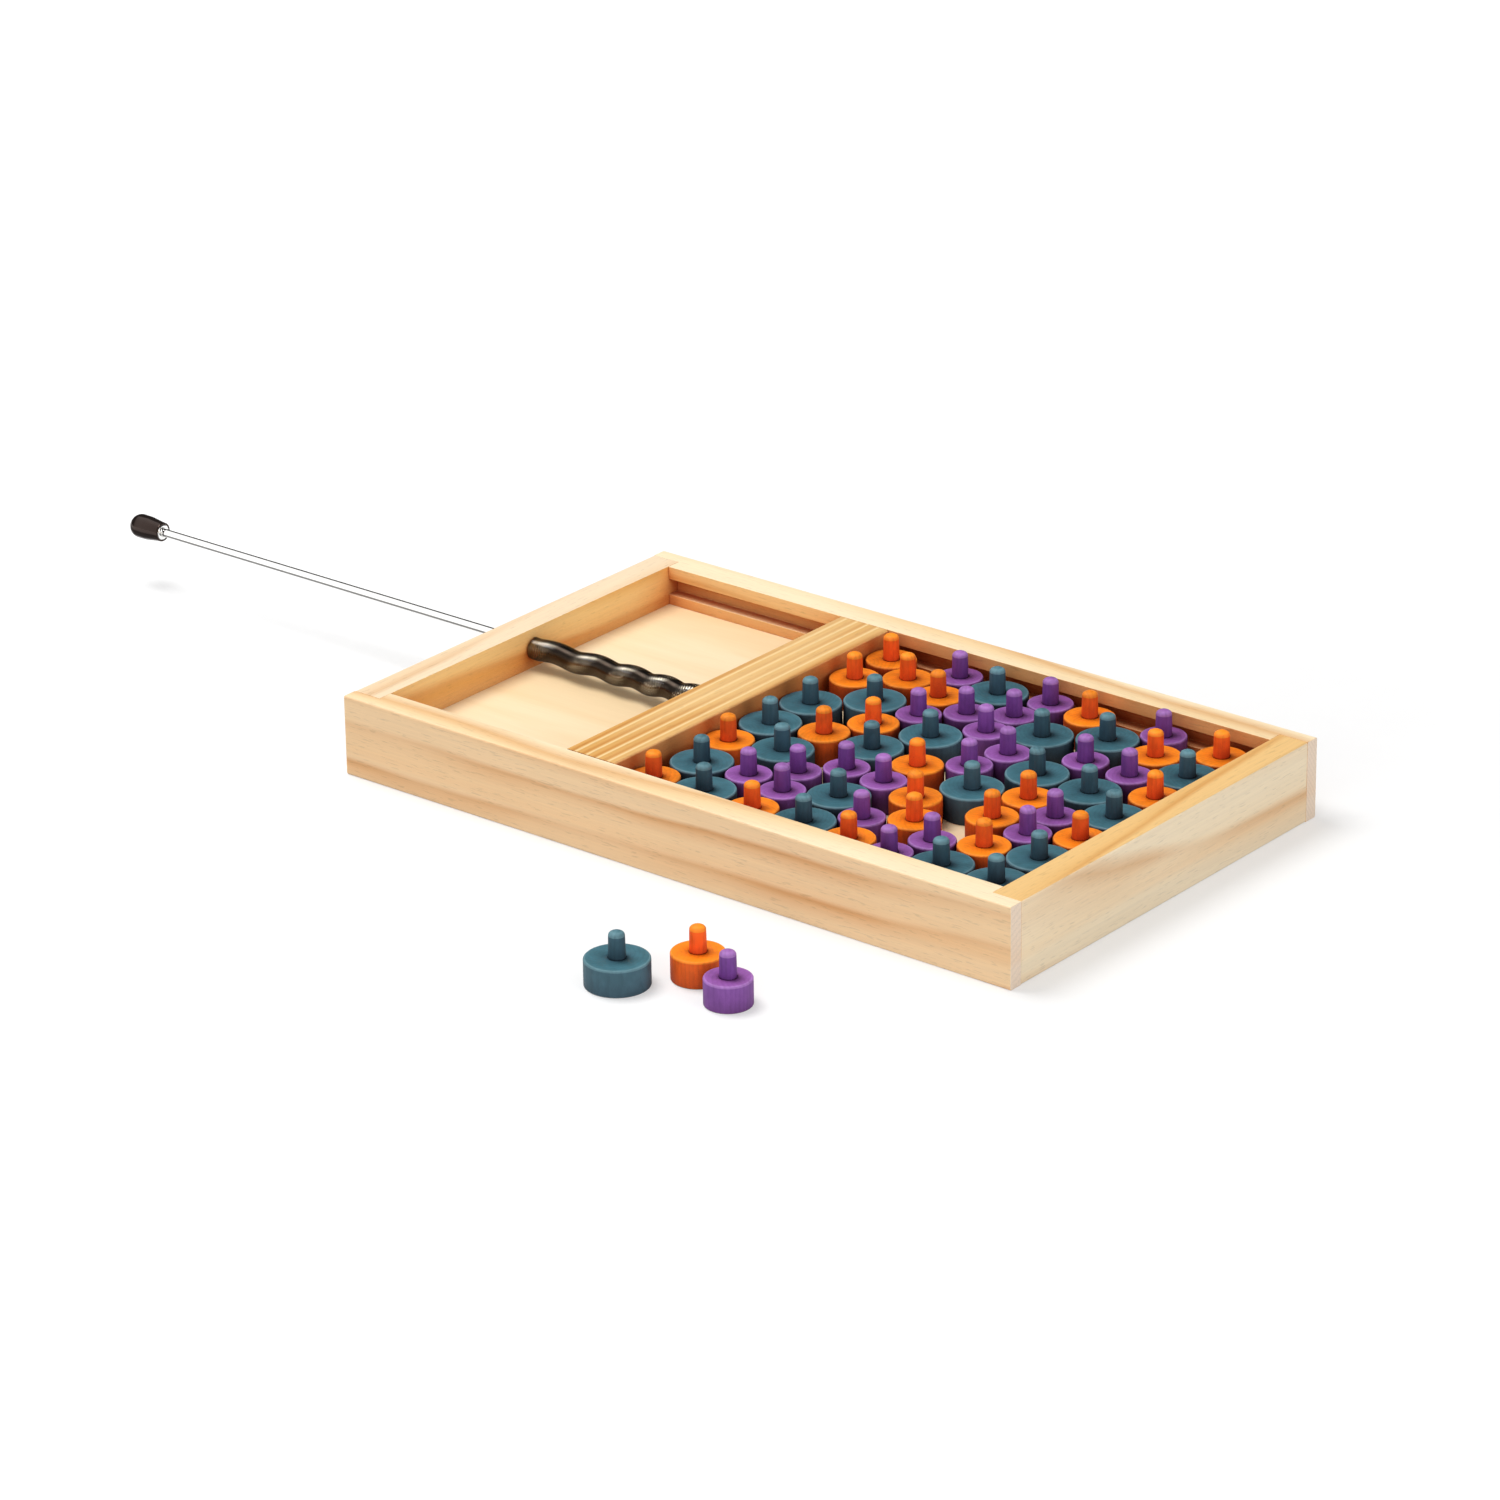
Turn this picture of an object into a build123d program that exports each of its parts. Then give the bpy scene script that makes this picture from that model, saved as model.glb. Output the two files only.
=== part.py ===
"""Tray game: coloured pegged discs squeezed in a pine tray by a sprung bar on a pull rod.

Two long walls with a full-length track carry a sliding bar. A steel rod runs from the bar
through the left end wall to a cap, and a long spring round the rod presses the bar against
the discs. Everything is laid out from the tray's front left bottom corner, with X along the
tray, Y towards the back and Z up, and is moved to the footprint's centre at the very end.
"""

from build123d import *
from itertools import combinations
import math
import os

# The tray
TRAY_LENGTH = 300.0
TRAY_WIDTH = 181.0
TRAY_HEIGHT = 30.8
WALL = 12.0
CORNER_LAP = 6.0
ARRIS = 0.8
FLOOR_TOP = 15.4
FLOOR_THICKNESS = 4.0
FLOOR_HOUSING = 5.0
PANEL_CLEARANCE = 0.5

# The track in the long walls and the bar that slides in it
TRACK_TOP = 25.7
TRACK_HEIGHT = 6.2
TRACK_DEPTH = 5.0
BAR_LEFT = 95.3
BAR_WIDTH = 22.4
BAR_SIDE_CLEARANCE = 0.3
BAR_FLOOR_CLEARANCE = 0.3
TONGUE_CLEARANCE = 0.3
TONGUE_SEAT_CLEARANCE = 0.05

# The pull rod, its cap and the washer in the cap's mouth
ROD_DIAMETER = 3.2
ROD_HEIGHT = 24.4
ROD_REACH = 178.6
ROD_RUNNING_CLEARANCE = 0.1
ROD_SOCKET_DEPTH = 15.0
ROD_SOCKET_CLEARANCE = 0.05
CAP_LENGTH = 17.4
CAP_DIAMETER = 9.5
CAP_MOUTH_DIAMETER = 8.4
CAP_DOME = 3.0
CAP_DOME_BANDS = 2
CAP_SOCKET_DEPTH = 12.0
WASHER_DIAMETER = 7.0
WASHER_THICKNESS = 1.0

# The spring round the rod, pressed until it snakes
SPRING_DIAMETER = 7.4
SPRING_WIRE = 1.0
SPRING_TURNS = 13
SPRING_TAIL_BEND = 1.2
WIRE_SIDES = 6
SPRING_SAG = 0.25
SNAKE_RADIUS = 0.7
SNAKE_PITCH = 16.5
SNAKE_PHASE = 200.0

# How finely the source looks at its own shapes
SAME_POINT = 0.01
HEADING_STEP = 0.001
SAMPLES_PER_TURN = 16

# The pegged discs
DISC_HEIGHT = 10.0
TEAL_DIAMETER = 23.0
ORANGE_DIAMETER = 19.0
PURPLE_DIAMETER = 17.0
PEG_DIAMETER = 6.0
PEG_HEIGHT = 10.0
PEG_ROUNDING = 1.3
DISC_SIDES = 24
PEG_SIDES = 10
PIECE_GAP = 0.3
SETTLING_ROUNDS = 2500
SETTLED = 0.001

# Where the discs of each colour lie, in steps from the compartment's front left corner, how many
# steps make its length and its width, and the largest share of its floor that discs can cover
STEPS_ALONG = 170.3
STEPS_ACROSS = 157.0
FULLEST = 0.73
TEAL, ORANGE, PURPLE = "teal", "orange", "purple"
LAYOUT = {
    TEAL: (
        (14, 29), (12, 72), (12, 95), (31, 12), (32, 52), (30, 111), (56, 74),
        (75, 10), (72, 34), (64, 98), (60, 144), (105, 69), (96, 122), (116, 92),
        (117, 134), (135, 11), (140, 92), (159, 11), (158, 36), (159, 79), (159, 123),
    ),
    ORANGE: (
        (10, 7), (9, 50), (10, 124), (8, 146), (33, 76), (26, 135), (54, 8),
        (41, 93), (45, 128), (94, 50), (77, 74), (97, 9), (105, 35), (100, 146),
        (126, 54), (125, 75), (138, 31), (138, 133), (160, 58), (160, 102), (158, 145),
    ),
    PURPLE: (
        (34, 32), (40, 148), (52, 27), (47, 42), (49, 111), (58, 55), (75, 55),
        (62, 122), (90, 26), (92, 85), (77, 114), (77, 130), (81, 147), (114, 9),
        (96, 102), (120, 25), (122, 113), (131, 149), (142, 51), (141, 69), (142, 112),
    ),
}

# The three discs lying in front of the tray, from its front left corner
LOOSE_TEAL_X = 192.3
LOOSE_TEAL_Y = -75.6
LOOSE_ORANGE_X = 210.8
LOOSE_ORANGE_Y = -55.4
LOOSE_PURPLE_X = 231.4
LOOSE_PURPLE_Y = -64.7

# Worked out from the sizes above
MIDDLE = TRAY_WIDTH / 2
TRACK_BOTTOM = TRACK_TOP - TRACK_HEIGHT
BAR_RIGHT = BAR_LEFT + BAR_WIDTH
ROD_END = BAR_LEFT + ROD_SOCKET_DEPTH
CAP_MOUTH = -ROD_REACH
CAP_TIP = CAP_MOUTH - CAP_LENGTH
COIL_RADIUS = (SPRING_DIAMETER - SPRING_WIRE) / 2
PEG_RADIUS = PEG_DIAMETER / 2
DISC_DIAMETER = {TEAL: TEAL_DIAMETER, ORANGE: ORANGE_DIAMETER, PURPLE: PURPLE_DIAMETER}
LOOSE = {
    TEAL: (LOOSE_TEAL_X, LOOSE_TEAL_Y),
    ORANGE: (LOOSE_ORANGE_X, LOOSE_ORANGE_Y),
    PURPLE: (LOOSE_PURPLE_X, LOOSE_PURPLE_Y),
}


def block(x, y, z):
    """A box between two values along each axis."""
    corner = Pos(x[0], y[0], z[0])
    return corner * Box(x[1] - x[0], y[1] - y[0], z[1] - z[0], align=(Align.MIN,) * 3)


def extruded(plane, points, rounded, length):
    """A closed outline on a plane, rounded at some corners and drawn out along the normal."""
    outline = make_face(plane * Polyline(*points, close=True))
    soft = [plane.from_local_coords(Vector(*point)) for point in rounded]
    corners = [v for v in outline.vertices() if min((Vector(v) - s).length for s in soft) < SAME_POINT]
    return extrude(fillet(corners, ARRIS), length, dir=plane.z_dir)


def long_wall():
    """The front wall: track and floor housing on its inner face, lapped at both ends."""
    inner = WALL
    deep = WALL - TRACK_DEPTH
    housed = WALL - FLOOR_HOUSING
    outline = [
        (0, 0),
        (inner, 0),
        (inner, FLOOR_TOP - FLOOR_THICKNESS),
        (housed, FLOOR_TOP - FLOOR_THICKNESS),
        (housed, FLOOR_TOP),
        (inner, FLOOR_TOP),
        (inner, TRACK_BOTTOM),
        (deep, TRACK_BOTTOM),
        (deep, TRACK_TOP),
        (inner, TRACK_TOP),
        (inner, TRAY_HEIGHT),
        (0, TRAY_HEIGHT),
    ]
    wall = extruded(Plane.YZ, outline, [outline[0], outline[-1]], TRAY_LENGTH)
    for left in (0, TRAY_LENGTH - WALL):
        wall -= block((left, left + WALL), (CORNER_LAP, WALL), (0, TRAY_HEIGHT))
    return wall


def end_wall():
    """The left end wall, between the laps of the long walls, with the floor housing."""
    housed = WALL - FLOOR_HOUSING
    outline = [
        (0, 0),
        (WALL, 0),
        (WALL, FLOOR_TOP - FLOOR_THICKNESS),
        (housed, FLOOR_TOP - FLOOR_THICKNESS),
        (housed, FLOOR_TOP),
        (WALL, FLOOR_TOP),
        (WALL, TRAY_HEIGHT),
        (0, TRAY_HEIGHT),
    ]
    plane = Plane(origin=(0, TRAY_WIDTH - CORNER_LAP, 0), x_dir=(1, 0, 0), z_dir=(0, -1, 0))
    return extruded(plane, outline, [outline[0], outline[-1]], TRAY_WIDTH - 2 * CORNER_LAP)


def along_rod(start, end, radius):
    """A round bar on the rod's axis between two places along X."""
    plane = Plane(origin=(start, MIDDLE, ROD_HEIGHT), z_dir=(1, 0, 0))
    return extrude(plane * Circle(radius), end - start, dir=plane.z_dir)


def floor_panel():
    """The plywood floor, let into all four walls."""
    edge = WALL - FLOOR_HOUSING + PANEL_CLEARANCE
    z = (FLOOR_TOP - FLOOR_THICKNESS, FLOOR_TOP)
    return block((edge, TRAY_LENGTH - edge), (edge, TRAY_WIDTH - edge), z)


def pusher_bar():
    """The sliding bar, with a tongue in each track and a socket for the rod."""
    side = WALL + BAR_SIDE_CLEARANCE
    tip = WALL - TRACK_DEPTH + TONGUE_CLEARANCE
    low = TRACK_BOTTOM + TONGUE_SEAT_CLEARANCE
    high = TRACK_TOP - TONGUE_CLEARANCE
    front = [
        (side, FLOOR_TOP + BAR_FLOOR_CLEARANCE),
        (side, low),
        (tip, low),
        (tip, high),
        (side, high),
        (side, TRAY_HEIGHT),
    ]
    back = [(TRAY_WIDTH - y, z) for y, z in reversed(front)]
    plane = Plane(origin=(BAR_LEFT, 0, 0), x_dir=(0, 1, 0), z_dir=(1, 0, 0))
    bar = extrude(make_face(plane * Polyline(*front, *back, close=True)), BAR_WIDTH, dir=plane.z_dir)
    top_edges = bar.edges().filter_by(Axis.Y).group_by(Axis.Z)[-1]
    bar = fillet(top_edges, ARRIS)
    return bar - along_rod(BAR_LEFT, ROD_END, ROD_DIAMETER / 2 + ROD_SOCKET_CLEARANCE)


def rod_cap():
    """The moulded cap: tapered body, domed tip, a socket for the rod and a washer seat."""
    body = CAP_DIAMETER / 2
    turns = [math.pi / 2 * band / CAP_DOME_BANDS for band in range(CAP_DOME_BANDS + 1)]
    dome = [(CAP_TIP + CAP_DOME * (1 - math.sin(a)), body - CAP_DOME * (1 - math.cos(a))) for a in turns]
    half = [(CAP_TIP, 0), (CAP_MOUTH, 0), (CAP_MOUTH, CAP_MOUTH_DIAMETER / 2), *dome]
    plane = Plane(origin=(0, MIDDLE, ROD_HEIGHT), x_dir=(1, 0, 0), z_dir=(0, -1, 0))
    cap = revolve(make_face(plane * Polyline(*half, close=True)), Axis(plane.origin, (1, 0, 0)))
    socket = along_rod(CAP_MOUTH - CAP_SOCKET_DEPTH, CAP_MOUTH, ROD_DIAMETER / 2 + ROD_SOCKET_CLEARANCE)
    seat = along_rod(CAP_MOUTH - WASHER_THICKNESS, CAP_MOUTH, WASHER_DIAMETER / 2 + ROD_SOCKET_CLEARANCE)
    return cap - socket - seat


def cap_washer():
    """The bright washer let into the cap's mouth, round the rod."""
    start = CAP_MOUTH - WASHER_THICKNESS
    plate = along_rod(start, CAP_MOUTH, WASHER_DIAMETER / 2)
    return plate - along_rod(start, CAP_MOUTH, ROD_DIAMETER / 2 + ROD_SOCKET_CLEARANCE)


def coil_point(turn):
    """The wire's centre after so many turns, on an axis that snakes round the rod."""
    margin = SPRING_WIRE + SPRING_TAIL_BEND
    first = WALL + margin
    last = BAR_LEFT - margin
    x = first + (last - first) * turn / SPRING_TURNS
    snake = math.radians(SNAKE_PHASE) + 2 * math.pi * (x - WALL) / SNAKE_PITCH
    angle = 2 * math.pi * turn
    y = MIDDLE + SNAKE_RADIUS * math.sin(snake) + COIL_RADIUS * math.sin(angle)
    z = ROD_HEIGHT - SPRING_SAG + SNAKE_RADIUS * math.cos(snake) + COIL_RADIUS * math.cos(angle)
    return Vector(x, y, z)


def coil_heading(turn):
    """The wire's direction after so many turns."""
    return (coil_point(turn + HEADING_STEP) - coil_point(turn - HEADING_STEP)).normalized()


def biarc(start, start_way, end, end_way):
    """Two arcs that leave one point and reach another in given directions."""
    across = end - start
    ways = start_way + end_way
    lean = 2 * (1 - start_way.dot(end_way))
    reach = (math.sqrt(across.dot(ways) ** 2 + lean * across.dot(across)) - across.dot(ways)) / lean
    before = start + start_way * reach
    after = end - end_way * reach
    joint = (before + after) * 0.5
    middle_way = (after - before).normalized()
    return [
        Edge.make_tangent_arc(start, start_way, joint),
        Edge.make_tangent_arc(joint, middle_way, end),
    ]


def spring_path():
    """The wire's path: a straight tail out of each end, and two arcs to each half turn."""
    ahead = Vector(1, 0, 0)
    edges = []
    stops = [half / 2 for half in range(2 * SPRING_TURNS + 1)]
    bend = SPRING_TAIL_BEND
    start = coil_point(0) - coil_heading(0) * bend
    tail_in = Vector(WALL, start.Y, start.Z)
    tail_out = Vector(WALL + SPRING_WIRE, start.Y, start.Z)
    edges.append(Edge.make_line(tail_in, tail_out))
    edges += biarc(tail_out, ahead, coil_point(0), coil_heading(0))
    for here, there in zip(stops, stops[1:]):
        edges += biarc(coil_point(here), coil_heading(here), coil_point(there), coil_heading(there))
    end = coil_point(SPRING_TURNS) + coil_heading(SPRING_TURNS) * bend
    last_in = Vector(BAR_LEFT - SPRING_WIRE, end.Y, end.Z)
    last_out = Vector(BAR_LEFT, end.Y, end.Z)
    edges += biarc(coil_point(SPRING_TURNS), coil_heading(SPRING_TURNS), last_in, ahead)
    edges.append(Edge.make_line(last_in, last_out))
    return Wire(edges)


def compression_spring(path):
    """The wire, drawn as a few-sided section along its path."""
    section = Plane(origin=path @ 0, z_dir=path % 0) * RegularPolygon(SPRING_WIRE / 2, WIRE_SIDES)
    return sweep(section, path=path, clean=False)


def self_gap():
    """The least air between the wire and the turns beside it, on points along its centre."""
    steps = SPRING_TURNS * SAMPLES_PER_TURN
    points = [coil_point(i / SAMPLES_PER_TURN) for i in range(steps + 1)]
    nearest = SAMPLES_PER_TURN // 2
    farthest = 3 * nearest
    pairs = [(i, j) for i in range(steps) for j in range(i + nearest, min(i + farthest, steps) + 1)]
    return min((points[i] - points[j]).length for i, j in pairs) - SPRING_WIRE


def stock(length, width):
    """The discs a compartment holds, as many of each colour: colour, radius and rough centre."""
    one_of_each = sum(math.pi / 4 * diameter**2 for diameter in DISC_DIAMETER.values())
    most = min(len(places) for places in LAYOUT.values())
    count = min(most, int(FULLEST * length * width / one_of_each))
    chosen = [round(k * (most - 1) / (count - 1)) for k in range(count)]
    held = []
    for k in chosen:
        for colour, places in LAYOUT.items():
            x = places[k][0] * length / STEPS_ALONG
            y = places[k][1] * width / STEPS_ACROSS
            held.append((colour, DISC_DIAMETER[colour] / 2, complex(x, y)))
    return held


def settled():
    """Each disc's colour and centre, pushed apart until discs and walls are clear of each other."""
    length = TRAY_LENGTH - WALL - BAR_RIGHT
    width = TRAY_WIDTH - 2 * WALL
    colours, radii, places = map(list, zip(*stock(length, width)))
    pairs = list(combinations(range(len(places)), 2))
    for _ in range(SETTLING_ROUNDS):
        worst = 0.0
        for i, j in pairs:
            between = places[j] - places[i]
            short = radii[i] + radii[j] + PIECE_GAP - abs(between)
            if short > 0:
                push = between / abs(between) * short / 2
                places[i] -= push
                places[j] += push
                worst = max(worst, short)
        for i, radius in enumerate(radii):
            edge = radius + PIECE_GAP
            x = min(max(places[i].real, edge), length - edge)
            y = min(max(places[i].imag, edge), width - edge)
            places[i] = complex(x, y)
        if worst < SETTLED:
            break
    print("discs in the tray", len(places), "short of their gap by", round(worst, 4))
    return [(colour, BAR_RIGHT + at.real, WALL + at.imag) for colour, at in zip(colours, places)]


def disc(colour):
    """One disc lying on its face, with few sides because it repeats so often."""
    return extrude(RegularPolygon(DISC_DIAMETER[colour] / 2, DISC_SIDES), DISC_HEIGHT)


def peg():
    """The peg glued on a disc, with an eased tip and few sides."""
    shaft = extrude(Pos(0, 0, DISC_HEIGHT) * RegularPolygon(PEG_RADIUS, PEG_SIDES), PEG_HEIGHT)
    return chamfer(shaft.edges().group_by(Axis.Z)[-1], PEG_ROUNDING)


def main():
    nodes = {
        "front_wall": long_wall(),
        "back_wall": mirror(long_wall(), Plane.XZ.offset(-MIDDLE)),
        "left_end_wall": end_wall() - along_rod(0, WALL, ROD_DIAMETER / 2 + ROD_RUNNING_CLEARANCE),
        "right_end_wall": mirror(end_wall(), Plane.YZ.offset(TRAY_LENGTH / 2)),
        "floor_panel": floor_panel(),
        "pusher_bar": pusher_bar(),
        "pusher_rod": along_rod(CAP_MOUTH - CAP_SOCKET_DEPTH, ROD_END, ROD_DIAMETER / 2),
        "rod_cap": rod_cap(),
        "cap_washer": cap_washer(),
    }
    path = spring_path()
    nodes["compression_spring"] = compression_spring(path)
    print("spring turns", SPRING_TURNS, "least gap to itself", round(self_gap(), 3))
    arcs = [edge.radius for edge in path.edges() if edge.geom_type == GeomType.CIRCLE]
    print("tightest arc", round(min(arcs), 3))

    places = settled()
    for colour in DISC_DIAMETER:
        spots = [Pos(x, y, FLOOR_TOP) for kind, x, y in places if kind == colour]
        nodes[colour + "_discs"] = Compound([spot * disc(colour) for spot in spots])
        nodes[colour + "_pegs"] = Compound([spot * peg() for spot in spots])
        nodes["loose_" + colour + "_disc"] = Pos(*LOOSE[colour], 0) * disc(colour)
        nodes["loose_" + colour + "_peg"] = Pos(*LOOSE[colour], 0) * peg()

    front = min(LOOSE[colour][1] - DISC_DIAMETER[colour] / 2 for colour in LOOSE)
    centre = Pos(-(CAP_TIP + TRAY_LENGTH) / 2, -(front + TRAY_WIDTH) / 2, 0)
    print("origin at", -centre.position)
    os.makedirs("parts", exist_ok=True)
    for name, shape in nodes.items():
        export_step(centre * shape, "parts/" + name + ".step")


main()
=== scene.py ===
import math
import random

import bmesh
import bpy
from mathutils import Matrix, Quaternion, Vector


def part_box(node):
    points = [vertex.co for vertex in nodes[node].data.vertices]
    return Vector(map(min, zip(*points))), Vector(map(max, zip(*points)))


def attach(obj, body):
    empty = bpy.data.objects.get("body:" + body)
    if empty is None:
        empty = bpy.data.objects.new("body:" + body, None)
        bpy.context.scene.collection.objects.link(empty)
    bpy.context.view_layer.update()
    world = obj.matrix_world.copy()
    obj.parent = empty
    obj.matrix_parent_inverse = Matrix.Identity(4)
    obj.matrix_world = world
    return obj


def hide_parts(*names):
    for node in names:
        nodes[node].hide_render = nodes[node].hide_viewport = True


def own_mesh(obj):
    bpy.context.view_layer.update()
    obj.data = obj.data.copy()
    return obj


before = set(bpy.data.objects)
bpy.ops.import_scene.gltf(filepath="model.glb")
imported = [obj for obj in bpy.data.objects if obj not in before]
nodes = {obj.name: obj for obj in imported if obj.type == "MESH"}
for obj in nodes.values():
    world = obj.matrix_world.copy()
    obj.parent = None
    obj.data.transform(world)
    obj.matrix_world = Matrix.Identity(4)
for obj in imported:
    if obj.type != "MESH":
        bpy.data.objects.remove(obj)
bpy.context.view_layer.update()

MM = 0.001
COLOURS = ("teal", "orange", "purple")

# The camera, from the photograph's perspective, in metres and degrees
CAMERA_AT = Vector((1.325433, -1.498735, 0.863430))
CAMERA_TARGET = Vector((0.050394, 0.059014, 0.0))
CAMERA_LENS = 143.83
CAMERA_SENSOR = 36.0
CAMERA_ROLL = -0.776

# Places worked out from the frame
SPRING_LOW, SPRING_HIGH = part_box("compression_spring")
ROD_LOW, ROD_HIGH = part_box("pusher_rod")
CAP_LOW, CAP_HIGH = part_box("rod_cap")
WASHER_LOW, WASHER_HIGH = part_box("cap_washer")
TRAY_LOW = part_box("front_wall")[0]
TRAY_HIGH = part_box("back_wall")[1]
ROD_Y = (ROD_LOW.y + ROD_HIGH.y) / 2
ROD_Z = (ROD_LOW.z + ROD_HIGH.z) / 2
ROD_RADIUS = (ROD_HIGH.z - ROD_LOW.z) / 2

# The rod, its cap and the washer, which is bevelled to fit under the cap's lip
ROD_SEGMENTS = 48
ROD_END_EASE = 0.25 * MM
ROD_CLEARANCE = 0.05 * MM
CAP_SEGMENTS = 56
CAP_TIP_INSET = 1.6 * MM
CAP_DOME_LENGTH = 4.4 * MM
CAP_DOME_FULLNESS = 0.8
CAP_DOME_ANGLES = (10, 20, 30, 42, 54, 66, 78, 90)
CAP_LIP_RADIUS = 3.78 * MM
CAP_SEAT_RADIUS = 3.55 * MM
CAP_SEAT_DEPTH = 1.0 * MM
CAP_SOCKET_DEPTH = 12.0 * MM
MOUTH_RADIUS = 2.95 * MM
WASHER_EASE = 0.12 * MM
WASHER_FULL_SHARE = 0.4

# The turned pieces. The spreads say how far off, in millimetres, the middle of each one's tree lies.
DISC_SEGMENTS = 72
DISC_ROUNDING = 0.7 * MM
DISC_FOOT = 0.5 * MM
PEG_SEGMENTS = 40
PEG_TAPER = 0.96
PEG_ROUNDING = 1.5 * MM
PEG_CROWN = 0.5 * MM
PEG_GLUE_RING = 0.25 * MM
CORNER_STEPS = 5
SUPPORT = 0.06 * MM
TREE_SPREAD = 14
TREE_SPREAD_UP = 40

# The spring, wound close and snaking round the rod. The way it bends out turns on from its start,
# in degrees, by a rate per millimetre and a tightening per square millimetre of its run.
SPRING_TURNS = 104
SPRING_WIRE = 0.78 * MM
SPRING_DIAMETER = 8.5 * MM
SPRING_POINTS_PER_TURN = 20
SPRING_SIDES = 8
SPRING_FLATNESS = 0.28
SPRING_SAG = 1.4 * MM
SNAKE_RADIUS = 0.54 * MM
SNAKE_START = -127.1
SNAKE_RATE = 13.98
SNAKE_TIGHTENING = 0.0826
SNAKE_STRAIGHT = 6.0 * MM
# The side, from straight up towards the front, that faces the soft box: the spring is made brighter
# there, partly as rubbed wear and partly as painted highlight.
RUBBED_AND_LIT_SIDE = math.radians(-30)

WELD = 0.001 * MM
EDGE_BEVEL = 0.22 * MM
FLAT_ANGLE = math.radians(0.5)
SHARP_ANGLE = math.radians(40)

# Painted shade where neighbours close in: how far is looked, and the painted tone from open to deep. On
# wood it comes in between two heights, so that the walls' feet on the table stay clear.
WALL_GAP = 24 * MM
WALL_GAP_SHADE_TONES = (
    (0.10, (1.0, 1.0, 1.0, 1)),
    (0.38, (1.0, 0.90, 0.78, 1)),
    (0.60, (0.89, 0.55, 0.34, 1)),
    (0.80, (0.46, 0.11, 0.045, 1)),
)
GAP_HEIGHTS = (5 * MM, 12 * MM)
STAIN_GAP = 14 * MM
STAIN_GAP_SHADE_TONES = (
    (0.16, (1.0, 1.0, 1.0, 1)),
    (0.48, (0.74, 0.62, 0.68, 1)),
    (0.86, (0.24, 0.15, 0.18, 1)),
)

# The room: floor and sky, as seen against white at 1. The floor's own glow rises between two
# distances from the tray's middle.
FLOOR_REACH = 6.0
FLOOR_SHADE = 0.62
FLOOR_GLOW = 0.35
GLOW_RISES = (0.20, 0.80)
ROOM_LEVEL = 0.46
LOW_SKY_SHARE = 0.42

# What shiny pieces mirror: a darker strip of floor before the rod, a painted reflection of shade that
# only mirrors see, and a white card in a dark room
STRIP_NEAR_EDGE = (-4 * MM, 4 * MM)
STRIP_FAR_EDGE = (32 * MM, 56 * MM)
STRIP_SHADE = 0.35
CARD_TOWARDS = (0.0, -0.76, 0.65)
CARD_LOWER_EDGE = (0.14, 0.26)
CARD_MIDDLE_X = -0.581
CARD_SIDE_EDGE = (0.08, 0.22)
CARD_LEVEL = 1.1
MIRRORED_ROOM = 0.05

# Each lamp's name, its place from the tray's middle, its size and its watts
LAMPS = (
    ("soft_box", (-0.46, -0.14, 1.22), 0.75, 11.5),
    ("front_fill", (0.5, -1.5, 0.50), 1.0, 6.0),
    ("right_fill", (1.5, -0.2, 0.50), 1.0, 6.0),
)

# Sawn timber: noise in waves per metre along the board, across it and up it
WANDER_WAVES = (5.5, 24.0, 24.0)
RIPPLE_WAVES = (22.0, 90.0, 90.0)
EVENING_WAVES = (9.0, 60.0, 60.0)
FLECK_WAVES = (190.0, 2100.0, 2100.0)
FIBRE_WAVES = (26.0, 1300.0, 1300.0)
PORE_WAVES = (1, 1500, 1500)
PLY_FIGURE_WAVES = (7.0, 42.0, 42.0)
PLY_FIBRE_WAVES = (45.0, 1500.0, 1500.0)
RIPPLE_SHARE = 0.12
EVENING_SHARE = 0.65
FLECK_DEPTH = 0.13
END_ARC_BEND = 6.0
END_ARC_SPACING = 2.6 * MM

# Stained beech: noise in waves per metre, growth rings, and how far each changes the tone
STAIN_FIBRE_WAVES = (900.0, 900.0, 260.0)
STAIN_CLOUD_WAVES = (210.0, 210.0, 150.0)
RING_WOBBLE = 0.9 * MM
RING_SPACING = 1.5 * MM
RING_DEPTH = 0.10
CLOUD_SPREAD = 0.11
PIECE_SPREAD = 0.09
# How far the paler edge tone, partly wear and partly painted highlight, is mixed in
WORN_AND_SHEEN_SHARE = 0.7

# Metal and plastic: noise in waves per metre
OIL_WAVES = (400, 400, 400)
HAZE_WAVES = (220, 220, 220)

# Growth bands of pine and of the bar: place in the band, then pale, tan or dark
PINE_STOPS = ((0.0, 0), (0.38, 0), (0.72, 1), (0.86, 2), (1.0, 0))
BAR_STOPS = ((0.0, 1), (0.30, 2), (0.44, 1), (0.52, 0), (0.66, 0), (0.74, 1), (1.0, 1))


def srgb(red, green, blue):
    """A colour as it looks on screen, 0 to 255, turned into the linear values shaders take."""
    def linear(level):
        share = level / 255
        if share <= 0.04045:
            return share / 12.92
        return ((share + 0.055) / 1.055) ** 2.4

    return (linear(red), linear(green), linear(blue), 1.0)


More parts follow.
